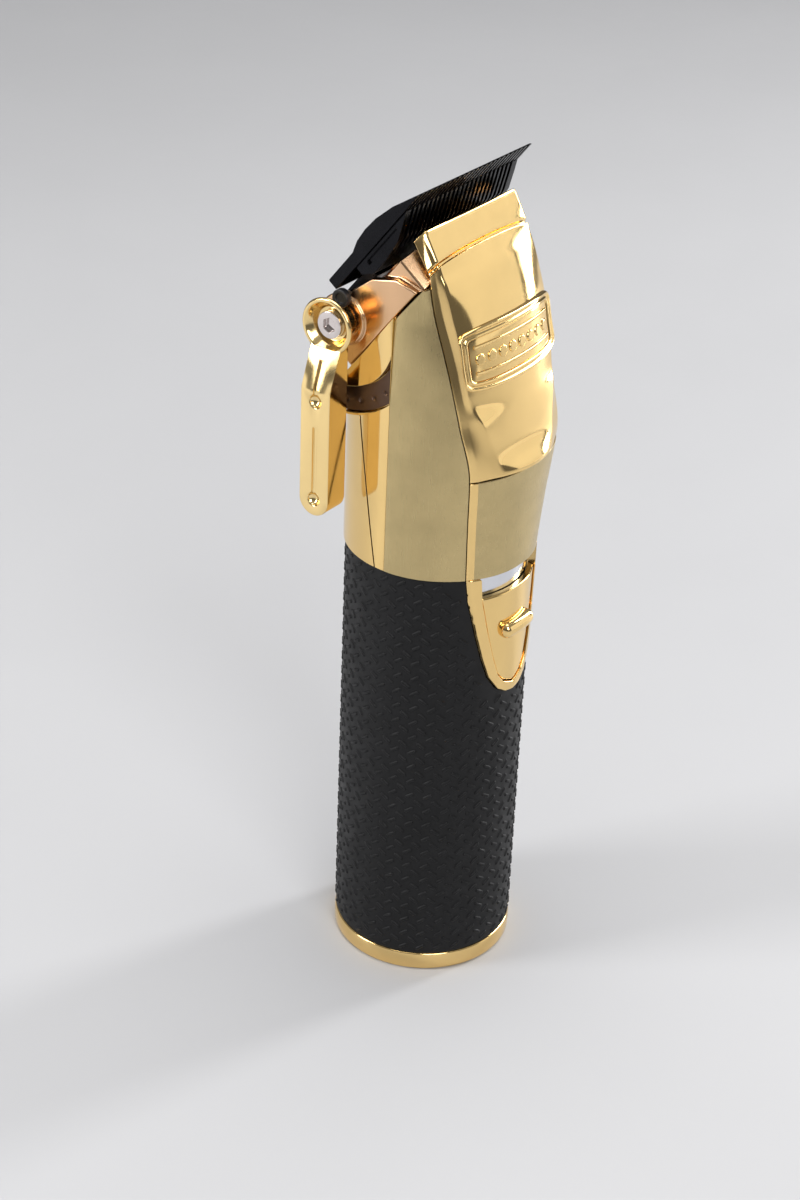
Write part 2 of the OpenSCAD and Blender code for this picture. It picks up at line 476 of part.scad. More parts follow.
module head_screws() color(steel) for (s = [-1, 1]) tilt() translate([s * 14.7, 0, 130]) rotate([-90, 0, 0]) translate([0, 0, 0]) union() {
  translate([0, 0, 103.4]) cylinder(r = 1.85, h = 1.3, $fn = 24);
  translate([0, 0, 97.9]) cylinder(r = 0.95, h = 5.6, $fn = 24);
}
// Collar under the blade: [share of its height, inset]
NB = [[0, 0.6], [0.07, 0.6], [0.1, 0.12], [0.15, 0], [0.35, 0], [0.6, 0], [0.85, 0.02], [0.94, 0.12], [0.985, 0.3], [1, 0.6]];
function band_pt(k, r, d) = let (c = cover_pt(k, 1, 0), s = NB[r][0], n0 = top_n(c[0]) + 0.2, n = n0 + (105.5 - n0) * s,
  t = (-c[1] * st + c[2] * ct) * (1 - s) + lip_t(c[0]) * s, m = [c[0], t - 118], q = m * (norm(m) - NB[r][1] - d) / norm(m))
  [q[0], n * ct - (q[1] + 118) * st, n * st + (q[1] + 118) * ct];
module nose_band() color(gold)
  shell([for (r = [0:9]) [for (k = [0:16]) band_pt(k, r, 0)]], [for (r = [0:9]) [for (k = [0:16]) band_pt(k, r, 2.0 - NB[r][1])]]);
// Black stop pad on the pivot boss, under the heel of the blade
module heel_pad() color(dlc) tilt() translate([-20.7, 107.9, 117.2]) rotate([0, 90, 0]) difference() {
  cylinder(r = 1.9, h = 1.46, $fn = 32);
  translate([0, 0, -1]) cylinder(r = 1.1, h = 1.5, $fn = 32);
}
module detent_plate() color([0.36, 0.25, 0.17]) difference() {
  intersection() { sector(19.4, 14.2, -10.4, 75, -18.95, -18.45); bx([-40, 0.2, 120], [0, 60, 170]); }
  for (i = [0:detents - 1]) rotate([0, 0, 0]) let (a = -5.5 + i * detent_step)
    translate([-19.25, piv_y - 17.2 * sin(a), piv_z - 17.2 * cos(a)]) sphere(r = 0.62, $fn = 24);
}
module lever_bush() color(brass) translate([0, 0, 0]) difference() {
  piv(3.4, -19.2, -16.6);
  piv(2.5 + run_gap, -20, -15);
}
// Blade set, in the blade plane's frame: X across, then n, then t ----------------------
module blade_rails() color(brass) tilt() for (s = [-1, 1]) bx([s * 10 - 1.5, 105.02, 109], [s * 10 + 1.5, 107.1, 117.6]);
module tension_spring() color(steel) tilt() union() {
  bx([-7.2, deck_n + 0.05, 130], [7.2, deck_n + 0.5, 133]);
  for (s = [-1, 1]) translate([s * 5.75 - 1.25, 0, 0]) rotate([90, 0, 90]) linear_extrude(2.5)
    polygon([[97.4, 130], [97.8, 130], [98.6, 129.7], [103.7, 127.7], [104.1, 126.3], [104.1, 125.5], [103.7, 125.5], [103.7, 126.2], [103.4, 127.4], [98.3, 129.3], [97.4, 129.6]]);
}
module blade_bracket() color(dlc) tilt() difference() {
  union() {
    bx([-13, 107.2, 110], [13, blade_n, 122.2]);
    bx([-15.1, 100.9, 109.2], [-12.7, 109, 116]);
  }
  for (s = [-1, 1]) translate([s * 8, 100, 119.6]) rotate([-90, 0, 0]) cylinder(r = 1.5, h = 20, $fn = 32);
  bx([-16, 101.4, piv_t - 2.41 * sin(23.2) - 1.38], [-12, 104.8, piv_t - 2.41 * sin(23.2) + 1.38]);
}
module blade_profile(p, w) translate([-w, 0, 0]) rotate([90, 0, 90]) linear_extrude(2 * w) polygon(p);
module fixed_blade() color(dlc) tilt() difference() {
  blade_profile([[blade_n, 117.4], [112.1, 117.4], [112.3, 117.7], [112.3, 126.6], [113.2, 129.4], [113.5, 132.8], [113.3, 136.5], [112.3, 141.5], [110.3, tip_t - 0.35], [blade_n, tip_t]], blade_w);
  for (i = [0:fixed_gaps - 1]) let (x = (i - (fixed_gaps - 1) / 2) * 1.56) bx([x - gap_w / 2, 100, 138.6], [x + gap_w / 2, 120, 150]);
  for (s = [-1, 1]) translate([s * 8, 100, 119.6]) rotate([-90, 0, 0]) {
    cylinder(r = 1.5, h = 20, $fn = 32);
    translate([0, 0, 11]) cylinder(r = 3, h = 10, $fn = 32);
  }
}
module blade_screws() color(dlc) tilt() for (s = [-1, 1]) translate([s * 8, 0, 119.6]) rotate([-90, 0, 0]) difference() {
  union() {
    translate([0, 0, 111]) cylinder(r = 2.85, h = 1.2, $fn = 32);
    translate([0, 0, 107.3]) cylinder(r = 1.4, h = 3.75, $fn = 32);
  }
  translate([0, 0, 111.4]) cylinder(r = 1.3, h = 2, $fn = 6);
}
module moving_blade() color(dlc) tilt() difference() {
  blade_profile([[blade_n - 0.1, 124.6], [108, 124.6], [106.4, 127], [106.4, 131.6], [107.1, 136.8], [108.7, 140.6], [blade_n - 0.1, 143]], 19.5);
  for (i = [0:cutter_gaps - 1]) let (x = (i - (cutter_gaps - 1) / 2) * 1.56) bx([x - 0.45, 105, 134.4], [x + 0.45, 111, 144]);
  for (s = [-1, 1]) bx([s > 0 ? 18.9 : -19.9, 108.2, 127.6], [s > 0 ? 19.9 : -18.9, 109.1, 138.6]);
}
module drive_yoke() color([0.85, 0.85, 0.82]) difference() {
  union() {
    tilt() bx([-7.5, 104.2, 125], [7.5, 106.38, 131.4]);
    difference() {
      bx([-2.5, -1.6, 144.6], [2.5, 1.6, 172]);
      tilt() bx([-20, 104.5, 100], [20, 140, 160]);
    }
    bx([-5.2, -3.4, 144.6], [5.2, 4.3, 149]);
  }
  tilt() bx([-20, 100, 132.5], [20, 140, 160]);
  bx([-pin_r - 0.12, -0.85, 144], [pin_r + 0.12, 2.95, 148.5]);
}

// Taper lever -----------------------------------------------------------------------------
module taper_lever() color(gold) difference() {
  union() {
    translate([0, piv_y, piv_z]) rotate([0, -90, 0]) rotate_extrude($fn = 64)
      polygon([[0, 21], [3.3, 21], [3.9, 21.5], [cup_r - 0.1, 23.6], [cup_r, 24], [cup_r - 0.25, 24.4], [5.2, 24.4], [0, 24.4]]);
    intersection() {
      translate([0, piv_y - arm_w / 2, 0]) rotate([90, 0, 0]) mirror([0, 0, 1]) linear_extrude(arm_w)
        polygon([[-27.4, 110], [-27.4, 141], [-24.4, 149.4], [-24.2, 150.2], [-21.5, 150.2], [-21.5, 110]]);
      translate([-40, 0, 0]) rotate([90, 0, 90]) linear_extrude(30) union() {
        translate([piv_y, arm_z + arm_w / 2]) circle(r = arm_w / 2, $fn = 48);
        translate([piv_y - arm_w / 2, arm_z + arm_w / 2]) square([arm_w, 60]);
      }
    }
  }
  // cup and screw hole
  translate([-21.9, piv_y, piv_z]) rotate([0, -90, 0]) cylinder(r1 = 3.6, r2 = 5.2, h = 2.55, $fn = 64);
  piv(1.3, -30, -15);
  // long groove with a dimple at its lower end, and the dimple above it
  bx([-28, piv_y - 0.55, 117], [-26.9, piv_y + 0.55, 132.7]);
  translate([-27.9, piv_y, 116.6]) sphere(r = 1.6, $fn = 32);
  translate([-27.9, piv_y, 138.6]) sphere(r = 1.6, $fn = 32);
  // short groove from the upper dimple over the arm's bend
  bx([-28, piv_y - 0.55, 139.4], [-26.9, piv_y + 0.55, 141.2]);
  translate([-27.4, piv_y - 0.55, 141]) rotate([0, 19.65, 0]) bx([-1, 0, -0.3], [0.5, 1.1, 6.2]);
  // detent bore
  translate([-25, piv_y - 17.2 * sin(-5.5), piv_z - 17.2 * cos(-5.5)]) rotate([0, 90, 0]) cylinder(r = 1.35, h = 8, $fn = 32);
}
module lever_screw() color([0.85, 0.85, 0.87]) difference() {
  union() {
    piv(2.9, -23.3, -21.9);
    piv(1.2, -22, -17.5);
  }
  translate([-30, piv_y, piv_z]) rotate([0, 90, 0]) cylinder(r = 1.6, h = 7.7, $fn = 6);
}
module lever_shaft() color(dlc) difference() {
  union() {
    piv(2.5, -21, -16.4);
    piv(3.9, -16.5, -15.45);
    tilt() translate([-15.6, piv_n - 2.41 * cos(23.2), piv_t - 2.41 * sin(23.2)]) rotate([0, 90, 0]) cylinder(r = 1.3, h = 3, $fn = 48);
  }
  piv(1.25, -25, -17.3);
}
module detent_plunger() color(steel) translate([0, piv_y - 17.2 * sin(-5.5), piv_z - 17.2 * cos(-5.5)]) union() {
  translate([-24.8, 0, 0]) rotate([0, 90, 0]) cylinder(r = 1.3, h = 4.6, $fn = 32);
  translate([-20.35, 0, 0]) sphere(r = 1.3, $fn = 32);
}

base_cap();
base_screws();
charge_socket();
charge_contacts();
base_seal();
grip_sleeve();
collar_gasket();
inner_chassis();
battery_cradle();
battery_cell();
battery_tabs();
battery_leads();
control_board();
board_components();
board_screws();
switch_body();
motor_can();
motor_end_cap();
motor_leads();
motor_bracket();
motor_screws();
bracket_screws();
motor_shaft();
eccentric_cam();
eccentric_pin();
main_housing();
rear_cover();
left_side_panel();
right_side_panel();
front_cover();
front_panel();
switch_frame();
switch_plate();
badge_frame();
badge_plate();
detent_plate();
lever_bush();
head_block();
head_screws();
nose_band();
heel_pad();
blade_rails();
tension_spring();
blade_bracket();
fixed_blade();
blade_screws();
moving_blade();
drive_yoke();
taper_lever();
lever_screw();
lever_shaft();
detent_plunger();
switch_slider();
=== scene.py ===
import json
import math
import bpy
import bmesh
import numpy as np
from mathutils import Matrix, Vector

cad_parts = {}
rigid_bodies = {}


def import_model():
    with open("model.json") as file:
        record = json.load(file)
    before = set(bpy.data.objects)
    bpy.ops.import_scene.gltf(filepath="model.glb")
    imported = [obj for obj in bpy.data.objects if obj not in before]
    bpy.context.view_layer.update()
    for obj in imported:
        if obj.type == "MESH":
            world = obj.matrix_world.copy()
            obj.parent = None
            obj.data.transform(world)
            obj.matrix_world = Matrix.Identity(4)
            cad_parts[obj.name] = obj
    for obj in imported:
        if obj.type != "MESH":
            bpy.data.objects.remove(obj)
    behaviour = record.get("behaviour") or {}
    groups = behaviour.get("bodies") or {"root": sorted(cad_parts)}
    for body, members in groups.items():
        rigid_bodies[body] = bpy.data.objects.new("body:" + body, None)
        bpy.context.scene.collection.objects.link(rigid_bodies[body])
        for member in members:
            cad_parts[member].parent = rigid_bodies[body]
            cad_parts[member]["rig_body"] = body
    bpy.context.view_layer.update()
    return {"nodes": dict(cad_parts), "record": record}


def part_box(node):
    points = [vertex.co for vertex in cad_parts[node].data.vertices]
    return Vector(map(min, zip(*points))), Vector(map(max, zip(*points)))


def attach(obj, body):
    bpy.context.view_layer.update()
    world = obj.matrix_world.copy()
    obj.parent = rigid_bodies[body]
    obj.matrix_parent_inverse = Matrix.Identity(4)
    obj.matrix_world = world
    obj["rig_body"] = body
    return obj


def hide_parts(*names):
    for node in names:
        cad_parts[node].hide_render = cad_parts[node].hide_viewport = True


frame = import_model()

MM = 0.001
NODES = frame["nodes"]


def mmbox(node):
    lo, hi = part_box(node)
    return np.array(lo) / MM, np.array(hi) / MM


BODY_OF = {n: o["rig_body"] for n, o in NODES.items()}
CT, ST = math.cos(math.radians(38)), math.sin(math.radians(38))
NECK_Z = mmbox("front_panel")[0][2]
PANEL_TOP_Z = mmbox("front_panel")[1][2]
LIP_Z = mmbox("front_cover")[0][2]
GRIP_LO, GRIP_HI = mmbox("grip_sleeve")
GRIP_R = GRIP_HI[0]
DECK_N = 97.3

# Materials ------------------------------------------------------------------


def new_mat(name):
    m = bpy.data.materials.new(name)
    m.use_nodes = True
    nt = m.node_tree
    bsdf = nt.nodes["Principled BSDF"]
    return m, nt, bsdf


def node(nt, kind, **values):
    n = nt.nodes.new(kind)
    for k, v in values.items():
        if k in n.inputs:
            n.inputs[k].default_value = v
        else:
            setattr(n, k, v)
    return n


def coords(nt, scale):
    tc = node(nt, "ShaderNodeTexCoord")
    mp = node(nt, "ShaderNodeMapping")
    mp.inputs["Scale"].default_value = scale
    nt.links.new(tc.outputs["Object"], mp.inputs["Vector"])
    return mp.outputs["Vector"]


def noise(nt, scale, detail=4.0, rough=0.55):
    n = node(nt, "ShaderNodeTexNoise", Detail=detail, Roughness=rough, Scale=1.0)
    nt.links.new(coords(nt, scale), n.inputs["Vector"])
    return n.outputs["Fac"]


def ramp(nt, fac, stops):
    r = node(nt, "ShaderNodeValToRGB")
    while len(r.color_ramp.elements) < len(stops):
        r.color_ramp.elements.new(0.5)
    for e, (p, c) in zip(r.color_ramp.elements, stops):
        e.position = p
        e.color = (*c, 1) if len(c) == 3 else c
    nt.links.new(fac, r.inputs["Fac"])
    return r.outputs["Color"]


def span(nt, fac, lo, hi, a=0.3, b=0.7):
    r = node(nt, "ShaderNodeMapRange")
    r.inputs["From Min"].default_value = a
    r.inputs["From Max"].default_value = b
    r.inputs["To Min"].default_value = lo
    r.inputs["To Max"].default_value = hi
    nt.links.new(fac, r.inputs["Value"])
    return r.outputs["Result"]


def bump(nt, bsdf, pairs):
    """pairs of (height output, strength, distance in metres), chained."""
    last = None
    for h, strength, dist in pairs:
        b = node(nt, "ShaderNodeBump")
        b.inputs["Strength"].default_value = strength
        b.inputs["Distance"].default_value = dist
        nt.links.new(h, b.inputs["Height"])
        if last is not None:
            nt.links.new(last, b.inputs["Normal"])
        last = b.outputs["Normal"]
    nt.links.new(last, bsdf.inputs["Normal"])


def tint(c, k):
    return tuple(min(1.0, x * k) for x in c)


def metal(name, base, r_lo, r_hi, grain=None, mottle=(160, 160, 160), depth=2e-6, vary=0.06, aniso=0.0):
    m, nt, b = new_mat(name)
    b.inputs["Metallic"].default_value = 1.0
    if aniso:
        b.inputs["Anisotropic"].default_value = aniso
    soft = noise(nt, mottle, 3.0)
    col = ramp(nt, soft, [(0.3, tint(base, 1 - vary)), (0.7, tint(base, 1 + vary * 0.6))])
    nt.links.new(col, b.inputs["Base Color"])
    if grain:
        g = noise(nt, grain, 6.0, 0.65)
        nt.links.new(span(nt, g, r_lo, r_hi), b.inputs["Roughness"])
        bump(nt, b, [(g, 0.35, depth)])
    else:
        smear = noise(nt, (420, 420, 130), 5.0)
        nt.links.new(span(nt, smear, r_lo, r_hi), b.inputs["Roughness"])
        bump(nt, b, [(noise(nt, (55, 55, 40), 1.0), 0.5, 6e-5), (noise(nt, (2400, 2400, 700), 4.0), 0.12, depth)])
    return m


def plastic(name, base, r_lo, r_hi, grain=2600, depth=6e-6, spec=0.5, coat=0.0, vary=0.1):
    m, nt, b = new_mat(name)
    b.inputs["Metallic"].default_value = 0.0
    b.inputs["Specular IOR Level"].default_value = spec
    if coat:
        b.inputs["Coat Weight"].default_value = coat
        b.inputs["Coat Roughness"].default_value = 0.12
    nt.links.new(ramp(nt, noise(nt, (120, 120, 120), 3.0), [(0.3, tint(base, 1 - vary)), (0.7, tint(base, 1 + vary))]), b.inputs["Base Color"])
    nt.links.new(span(nt, noise(nt, (300, 300, 300), 4.0), r_lo, r_hi), b.inputs["Roughness"])
    bump(nt, b, [(noise(nt, (grain, grain, grain), 3.0), 0.4, depth)])
    return m


GOLD = (0.88, 0.62, 0.26)
M = {
    "gold_polished": metal("gold_polished", GOLD, 0.06, 0.12, vary=0.03),
    "gold_satin": metal("gold_satin", (0.56, 0.44, 0.22), 0.24, 0.40, grain=(5200, 5200, 70), depth=1.1e-5, vary=0.08),
    "gold_lever": metal("gold_lever", (0.90, 0.67, 0.31), 0.09, 0.17, vary=0.03),
    "grip_black": plastic("grip_black", (0.0045, 0.0045, 0.005), 0.46, 0.62, grain=3800, depth=9e-6, spec=0.28, vary=0.25),
    "gold_rose": metal("gold_rose", (0.74, 0.47, 0.27), 0.16, 0.27, grain=(4200, 4200, 90), depth=4e-6, vary=0.06),
    "bronze_plate": metal("bronze_plate", (0.12, 0.075, 0.055), 0.28, 0.42, grain=(900, 900, 900), depth=4e-6, vary=0.14),
    "blade_black": metal("blade_black", (0.016, 0.016, 0.018), 0.20, 0.34, grain=(4200, 500, 500), depth=3e-6, vary=0.15),
    "chrome_screw": metal("chrome_screw", (0.66, 0.60, 0.58), 0.05, 0.14, vary=0.03),
    "bright_strip": metal("bright_strip", (0.72, 0.73, 0.77), 0.10, 0.20, grain=(300, 300, 4200), vary=0.05),
    "steel_fittings": metal("steel_fittings", (0.55, 0.55, 0.57), 0.22, 0.38, grain=(900, 900, 900), vary=0.06),
    "brass_fittings": metal("brass_fittings", (0.72, 0.50, 0.20), 0.18, 0.32, grain=(900, 900, 900), vary=0.08),
    "black_plastic": plastic("black_plastic", (0.016, 0.016, 0.018), 0.35, 0.5),
    "grey_plastic": plastic("grey_plastic", (0.06, 0.06, 0.065), 0.4, 0.55),
    "ivory_plastic": plastic("ivory_plastic", (0.78, 0.74, 0.64), 0.3, 0.42),
    "black_rubber": plastic("black_rubber", (0.01, 0.01, 0.01), 0.6, 0.78),
    "cell_wrap": plastic("cell_wrap", (0.03, 0.10, 0.30), 0.16, 0.26, coat=0.3),
    "board_green": plastic("board_green", (0.01, 0.09, 0.035), 0.28, 0.4),
}
# which finish each CAD node takes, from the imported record
SLOT_OF = {}
for m_ in frame["record"].get("materials", []):
    for n_ in m_.get("nodes", []) or []:
        SLOT_OF[n_] = m_["slot"]
for n_, o_ in NODES.items():
    if n_ not in SLOT_OF:
        got = [s.material.name.split(".")[0] for s in o_.material_slots if s.material]
        SLOT_OF[n_] = next((g for g in got if g in M), "steel_fittings")

# Mesh helpers -------------------------------------------------------------------


def bevel(bm, width, angle, segs):
    edges = [e for e in bm.edges if len(e.link_faces) == 2 and e.calc_face_angle(0.0) > math.radians(angle) and e.calc_length() > 2e-5
             and min(f.calc_area() for f in e.link_faces) > 1e-9]
    if edges and width > 0:
        bmesh.ops.bevel(bm, geom=edges, offset=width * MM, offset_type="OFFSET", segments=segs, profile=0.5,
                        affect="EDGES", clamp_overlap=False, loop_slide=True)


def dress(me, name, slot, body, nodes=(), sharp=38, weighted=True):
    for p in me.polygons:
        p.use_smooth = True
    me.set_sharp_from_angle(angle=math.radians(sharp))
    o = bpy.data.objects.new(name, me)
    bpy.context.scene.collection.objects.link(o)
    if not me.materials:
        me.materials.append(M[slot])
    if weighted:
        w = o.modifiers.new("weighted", "WEIGHTED_NORMAL")
        w.keep_sharp = True
        w.weight = 80
    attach(o, body)
    if nodes:
        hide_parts(*nodes)
    return o


def mesh_from(verts, faces, name):
    me = bpy.data.meshes.new(name)
    me.from_pydata([tuple(float(c) * MM for c in v) for v in verts], [], faces)
    return me


def piece(name, verts, faces, slot, body, nodes=(), width=0.0, angle=50, segs=3, sharp=38, weighted=True):
    me = mesh_from(verts, faces, name)
    bm = bmesh.new()
    bm.from_mesh(me)
    bmesh.ops.remove_doubles(bm, verts=bm.verts[:], dist=1e-6)
    bmesh.ops.recalc_face_normals(bm, faces=bm.faces[:])
    bevel(bm, width, angle, segs)
    bm.to_mesh(me)
    bm.free()
    return dress(me, name, slot, body, nodes, sharp, weighted)


def refine(cad, width=0.2, segs=3, angle=32, name=None, slot=None, extra=None, sharp=38, keep=None):
    """A finely edged copy of a CAD node: flat faces merged, real edges rounded."""
    src = NODES[cad].data
    me = src.copy()
    me.materials.clear()
    me.name = name or cad + "_fine"
    bm = bmesh.new()
    bm.from_mesh(me)
    bmesh.ops.remove_doubles(bm, verts=bm.verts[:], dist=2e-6)
    bmesh.ops.dissolve_limit(bm, angle_limit=math.radians(0.7), use_dissolve_boundaries=False, verts=bm.verts[:], edges=bm.edges[:])
    bmesh.ops.dissolve_degenerate(bm, dist=2e-6, edges=bm.edges[:])
    bevel(bm, width, angle, segs)
    if extra:
        extra(bm)
    bmesh.ops.triangulate(bm, faces=[f for f in bm.faces if len(f.verts) > 4])
    bm.to_mesh(me)
    bm.free()
    return dress(me, name or cad + "_fine", slot or SLOT_OF[cad], BODY_OF[cad], (cad,), sharp)


def grid_faces(nr, nc, o=0, flip=False):
    out = []
    for i in range(nr - 1):
        for j in range(nc - 1):
            a, b, c, d = o + i * nc + j, o + (i + 1) * nc + j, o + (i + 1) * nc + j + 1, o + i * nc + j + 1
            out.append((a, d, c, b) if flip else (a, b, c, d))
    return out


def shell(P, Q):
    """A closed shell between an outer and an inner grid of points, P and Q of shape (rows, columns, 3)."""
    nr, nc = P.shape[:2]
    o = nr * nc
    verts = np.concatenate([P.reshape(-1, 3), Q.reshape(-1, 3)])
    faces = grid_faces(nr, nc) + grid_faces(nr, nc, o, True)
    for j in range(nc - 1):
        faces.append((j, j + 1, o + j + 1, o + j))
        a = (nr - 1) * nc + j
        faces.append((a + 1, a, o + a, o + a + 1))
    for i in range(nr - 1):
        a, b = i * nc, (i + 1) * nc
        faces.append((b, a, o + a, o + b))
        a, b = a + nc - 1, b + nc - 1
        faces.append((a, b, o + b, o + a))
    return verts, faces


def pchip(tab):
    x = np.array([p[0] for p in tab], float)
    y = np.array([p[1] for p in tab], float)
    h = np.diff(x)
    d = np.diff(y) / h
    m = np.zeros_like(x)
    for i in range(1, len(x) - 1):
        if d[i - 1] * d[i] > 0:
            w1, w2 = 2 * h[i] + h[i - 1], h[i] + 2 * h[i - 1]
            m[i] = (w1 + w2) / (w1 / d[i - 1] + w2 / d[i])
    m[0], m[-1] = d[0], d[-1]

    def f(z):
        z = np.clip(np.asarray(z, float), x[0], x[-1])
        i = np.clip(np.searchsorted(x, z, side="right") - 1, 0, len(x) - 2)
        t = (z - x[i]) / h[i]
        return ((2 * t**3 - 3 * t**2 + 1) * y[i] + (t**3 - 2 * t**2 + t) * h[i] * m[i]
                + (-2 * t**3 + 3 * t**2) * y[i + 1] + (t**3 - t**2) * h[i] * m[i + 1])

    return f


# Shape of the head: outlines that change with height ------------------------------
sx = pchip([[101.5, 20.6], [130, 20.6], [150, 20.2], [160, 19.7], [168, 18.8]])
bxx = pchip([[101.5, 13.4], [114, 14.8], [126.6, 16.3], [138, 17.2], [151.5, 17.6], [168, 17.6], [176, 17.3]])
byy = pchip([[101.5, -15.65], [114, -16.3], [126.6, -17.07], [138, -14.5], [147.6, -11.9], [151.5, -10.6], [161, -7.4], [166, -6.4], [168, -6.1], [172, -5.5]])
_b2dx = pchip([[101.5, 1.4], [150, 1.5], [168, 1.1]])
_b2dy = pchip([[101.5, 1.1], [150, 1.2], [160, 1.15], [164, 0.9], [168, 0.6], [172, 0.5]])
cx = pchip([[126, 9.3], [130.7, 10.6], [138, 13.2], [141, 14.5], [144, 15.2], [150, 15.5], [160, 15.8], [172, 15.8]])
_cyk = pchip([[144, 1.05], [150, 1.4], [157, 2.2], [162, 2.1], [166, 1.6], [168, 1.0], [172, 0.7]])
dy = pchip([[125.4, -22.8], [126.4, -22.8], [127.6, -22.0], [129, -20.9], [130.5, -20.2], [134.7, -19.2], [140, -18.0], [146, -16.8],
            [151, -15.9], [157, -14.6], [162, -12.6], [166, -10.4], [168, -9.0], [170, -7.6], [173, -5.4]])
dlow = pchip([[101.5, -20.6], [114, -21.2], [125.6, -22.2]])


def b2x(z):
    return bxx(z) - _b2dx(z)


def b2y(z):
    return byy(z) - _b2dy(z)


cy = pchip([[126, -20.8], [130.7, -19.4], [138, -17.5], [141, -16.0]]
           + [[z, float(b2y(z) - _cyk(z))] for z in (144, 147, 150, 153.5, 157, 160, 162, 164, 166, 168, 172)])


def pw(z):
    return np.interp(z, [126, 138, 151], [2, 2.2, 2.4])


def top_n(x):
    return 98.4 + 0.7 * (1 - (x / 16) ** 2)


def lip_t(x):
    return 140.9 - 0.5 * np.maximum(0, np.abs(x) - 15.2) ** 2


def inward(q, d):
    r = np.linalg.norm(q, axis=-1, keepdims=True)
    return q * (r - d) / r


def round_corner(A, P, B, r, n):
    da, db = A - P, B - P
    la, lb = np.linalg.norm(da, axis=-1, keepdims=True), np.linalg.norm(db, axis=-1, keepdims=True)
    a = P + da / la * np.minimum(r, 0.4 * la)
    b = P + db / lb * np.minimum(r, 0.4 * lb)
    t = np.linspace(0, 1, n)[:, None, None]
    return (1 - t) ** 2 * a + 2 * t * (1 - t) * P + t**2 * b


def pt(x, y):
    return np.stack([x, y], -1)


NCURVE = 26


def cover_cols(z):
    """Whole outline of the front cover at heights z: an array (columns, len(z), 2)."""
    B1 = pt(-bxx(z) + 0.14, byy(z) - 0.16)
    P2 = pt(-b2x(z), b2y(z))
    P3 = pt(-cx(z), cy(z))

    def curve(f):
        x = cx(z) * f
        return pt(-x, dy(z) + (cy(z) - dy(z)) * f ** pw(z))

    f0 = 0.965
    c2 = round_corner(B1, P2, P3, 0.22, 5)
    c3 = round_corner(P2, P3, curve(f0 - 0.02), 0.3, 2)[0]
    t = np.linspace(0, 1, 6)[:, None, None]
    e3 = (1 - t) ** 2 * c3 + 2 * t * (1 - t) * P3 + t**2 * curve(f0)
    cols = [B1, B1 + (c2[0] - B1) * 0.35, B1 + (c2[0] - B1) * 0.7]
    cols += list(c2)
    cols += [c2[-1] + (c3 - c2[-1]) * k for k in (0.25, 0.5, 0.75)]
    cols += list(e3)
    cols += [curve(f0 * math.cos(math.pi / 2 * k / NCURVE)) if k < NCURVE else curve(0.0) for k in range(1, NCURVE + 1)]
    half = np.array(cols)
    other = half[-2::-1] * np.array([-1, 1])
    return np.concatenate([half, other])


NCOV = len(cover_cols(np.array([140.0])))


def column_tops(fn, limit, start, n):
    """Height at which each column of an outline meets a sloping plane n = limit(x)."""
    z = np.full(n, start)
    for _ in range(30):
        q = np.array([fn(np.array([z[k]]))[k, 0] for k in range(n)])
        z = 0.5 * z + 0.5 * (limit(q[:, 0]) - CT * q[:, 1]) / ST
    return z


COV_TOP = column_tops(cover_cols, top_n, 168.0, NCOV)


def cover_grid(nrows, d):
    v = np.linspace(0, 1, nrows)
    P = np.zeros((nrows, NCOV, 3))
    for k in range(NCOV):
        z = LIP_Z + v * (COV_TOP[k] - LIP_Z)
        q = inward(cover_cols(z)[k], d)
        if d:
            z = np.minimum(z, (top_n(q[:, 0]) - CT * q[:, 1]) / ST)
        P[:, k, :2], P[:, k, 2] = q, z
    return P


piece("front_cover_shell", *shell(cover_grid(104, 0), cover_grid(104, 1.3)), "gold_polished", "housing", ("front_cover",), width=0.14, angle=55)

# side panels
NPAN = 34


def panel_cols(z):
    t = np.linspace(0, 1, NPAN)[:, None, None]
    A = pt(-sx(z), np.minimum(-0.1, (DECK_N - 0.4 - ST * z) / CT))
    B = pt(-bxx(z), byy(z))
    K = pt(-sx(z) + 0.02 * (z - 101.5) / 60, A[..., 1] + (B[..., 1] - A[..., 1]) * 0.58)
    return (1 - t) ** 2 * A + 2 * t * (1 - t) * K + t**2 * B


PAN_TOP = np.minimum(column_tops(panel_cols, lambda x: DECK_N - 0.25 + 0 * x, 160.0, NPAN), 164.9)


def panel_grid(nrows, d):
    v = np.linspace(0, 1, nrows)
    P = np.zeros((nrows, NPAN, 3))
    for k in range(NPAN):
        z = NECK_Z + v * (PAN_TOP[k] - NECK_Z)
        q = inward(panel_cols(z)[k], d)
        if d:
            z = np.minimum(z, (DECK_N - 0.25 - CT * q[:, 1]) / ST)
        P[:, k, :2], P[:, k, 2] = q, z
    return P


pv, pf = shell(panel_grid(90, 0), panel_grid(90, 1.25))
piece("side_panel_left", pv, pf, "gold_satin", "housing", ("left_side_panel",), width=0.0, angle=50)
piece("side_panel_right", pv * np.array([-1, 1, 1]), [tuple(reversed(f)) for f in pf], "gold_satin", "housing", ("right_side_panel",), width=0.0, angle=50)


# lower front panel
def low_cols(z):
    B1 = pt(-bxx(z) + 0.14, byy(z) - 0.16)
    P2 = pt(-b2x(z), b2y(z))

    def curve(f):
        x = b2x(z) * f
        return pt(-x, dlow(z) + (b2y(z) - dlow(z)) * f**2.3)

    f0 = 0.97
    c2 = round_corner(B1, P2, curve(0.94), 0.22, 2)[0]
    t = np.linspace(0, 1, 6)[:, None, None]
    e = (1 - t) ** 2 * c2 + 2 * t * (1 - t) * P2 + t**2 * curve(f0)
    cols = [B1, B1 + (c2 - B1) * 0.5] + list(e)
    cols += [curve(f0 * math.cos(math.pi / 2 * k / 24)) if k < 24 else curve(0.0) for k in range(1, 25)]
    half = np.array(cols)
    return np.concatenate([half, half[-2::-1] * np.array([-1, 1])])


zl = np.linspace(NECK_Z, PANEL_TOP_Z, 60)


